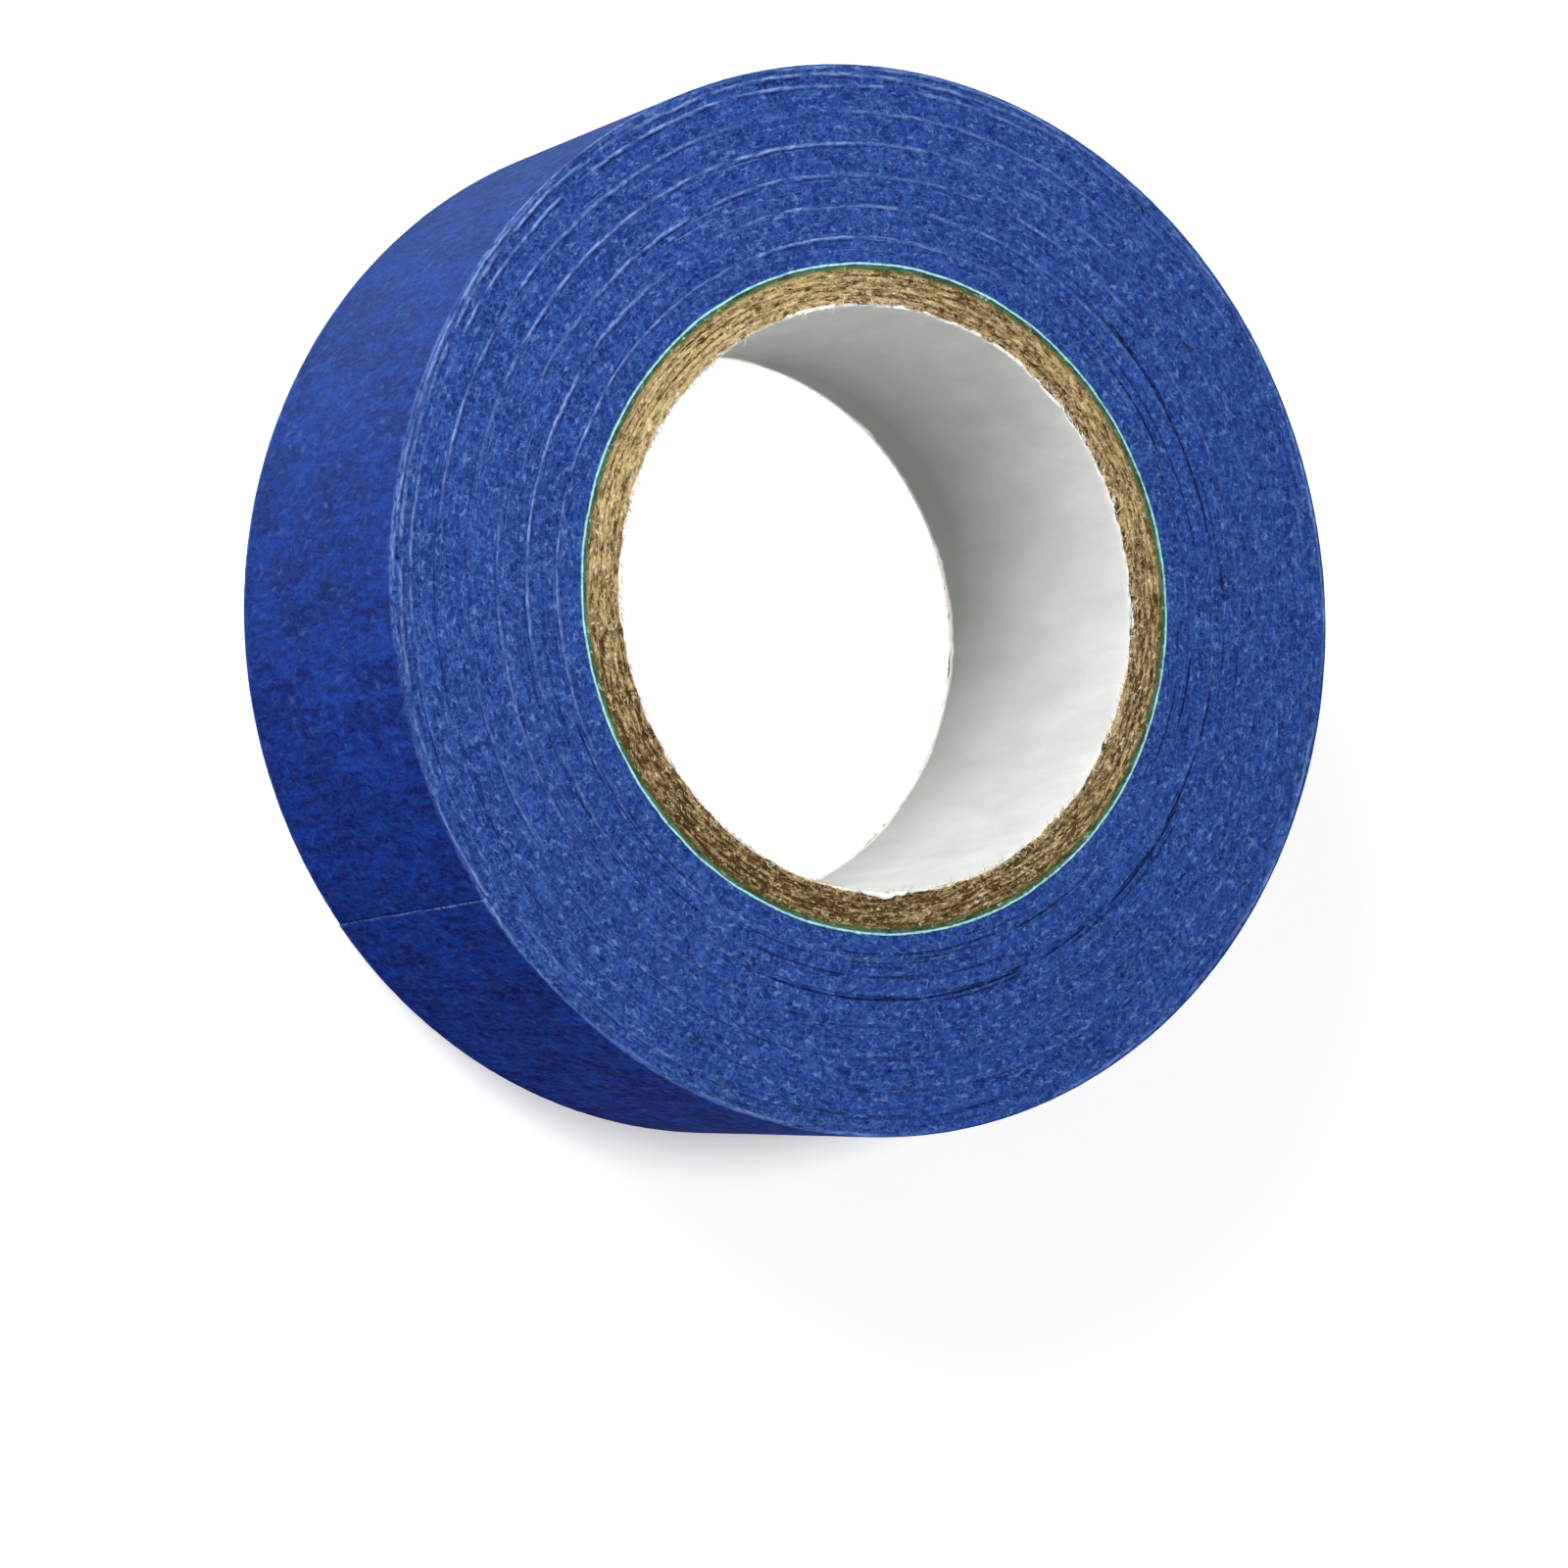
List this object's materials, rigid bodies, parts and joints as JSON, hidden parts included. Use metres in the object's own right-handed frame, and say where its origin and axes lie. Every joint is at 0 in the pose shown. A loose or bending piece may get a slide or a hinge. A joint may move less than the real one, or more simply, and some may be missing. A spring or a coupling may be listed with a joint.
{
  "type": "masking tape roll",
  "caption": "Full roll of blue crepe-paper masking tape wound on a layered board core with an open bore; the free end of the tape peels back.",
  "frame": {"origin": "centre of the lower side face, where the roll's axis meets the surface it lies on", "axes": "+Z along the roll's axis, upwards; +X through the free end of the tape; the roll lies flat"},
  "size_m": [0.1395, 0.1395, 0.048],
  "materials": {
    "core_liner": "matte",
    "core_kraft": "matte",
    "core_green": "matte",
    "core_teal": "matte",
    "tape_paper": "matte",
    "tape_adhesive": "satin"
  },
  "bodies": {
    "roll": {"core_liner": "core_liner", "core_kraft_ply_1": "core_kraft", "core_kraft_ply_2": "core_kraft", "core_kraft_ply_3": "core_kraft", "core_kraft_ply_4": "core_kraft", "core_kraft_ply_5": "core_kraft", "core_green_ply": "core_green", "core_teal_wrap": "core_teal", "tape_band_1": "tape_paper", "tape_band_2": "tape_paper", "tape_band_3": "tape_paper", "tape_band_4": "tape_paper", "tape_band_5": "tape_paper", "tape_band_6": "tape_paper", "tape_band_7": "tape_paper", "tape_last_turn": "tape_paper"},
    "flap_1": {"flap_backing_1": "tape_paper", "flap_adhesive_1": "tape_adhesive"},
    "flap_2": {"flap_backing_2": "tape_paper", "flap_adhesive_2": "tape_adhesive"},
    "flap_3": {"flap_backing_3": "tape_paper", "flap_adhesive_3": "tape_adhesive"},
    "flap_4": {"flap_backing_4": "tape_paper", "flap_adhesive_4": "tape_adhesive"},
    "flap_5": {"flap_backing_5": "tape_paper", "flap_adhesive_5": "tape_adhesive"},
    "flap_6": {"flap_backing_6": "tape_paper", "flap_adhesive_6": "tape_adhesive"},
    "flap_7": {"flap_backing_7": "tape_paper", "flap_adhesive_7": "tape_adhesive"},
    "flap_8": {"flap_backing_8": "tape_paper", "flap_adhesive_8": "tape_adhesive"}
  },
  "joints": [
    {"name": "tape_peel", "type": "hinge", "parent": "roll", "child": "flap_1", "pos_m": [0.03905, 0.05783, 0.024], "axis": [0, 0, 1], "range_deg": [0, 18]},
    {"name": "tape_peel_2", "type": "hinge", "parent": "flap_1", "child": "flap_2", "pos_m": [0.04581, 0.05265, 0.024], "axis": [0, 0, 1], "range_deg": [0, 18]},
    {"name": "tape_peel_3", "type": "hinge", "parent": "flap_2", "child": "flap_3", "pos_m": [0.05188, 0.04668, 0.024], "axis": [0, 0, 1], "range_deg": [0, 18]},
    {"name": "tape_peel_4", "type": "hinge", "parent": "flap_3", "child": "flap_4", "pos_m": [0.05718, 0.04001, 0.024], "axis": [0, 0, 1], "range_deg": [0, 18]},
    {"name": "tape_peel_5", "type": "hinge", "parent": "flap_4", "child": "flap_5", "pos_m": [0.06163, 0.03275, 0.024], "axis": [0, 0, 1], "range_deg": [0, 18]},
    {"name": "tape_peel_6", "type": "hinge", "parent": "flap_5", "child": "flap_6", "pos_m": [0.06517, 0.025, 0.024], "axis": [0, 0, 1], "range_deg": [0, 18]},
    {"name": "tab_lift", "type": "hinge", "parent": "flap_6", "child": "flap_7", "pos_m": [0.06773, 0.01688, 0.024], "axis": [0, 0, 1], "range_deg": [0, 18]},
    {"name": "tab_lift_8", "type": "hinge", "parent": "flap_7", "child": "flap_8", "pos_m": [0.06928, 0.0085, 0.024], "axis": [0, 0, 1], "range_deg": [0, 18]}
  ],
  "couplings": [
    {"joint": "tape_peel_2", "follows": "tape_peel", "ratio": 1},
    {"joint": "tape_peel_3", "follows": "tape_peel", "ratio": 1},
    {"joint": "tape_peel_4", "follows": "tape_peel", "ratio": 1},
    {"joint": "tape_peel_5", "follows": "tape_peel", "ratio": 1},
    {"joint": "tape_peel_6", "follows": "tape_peel", "ratio": 1},
    {"joint": "tab_lift_8", "follows": "tab_lift", "ratio": 1}
  ]
}
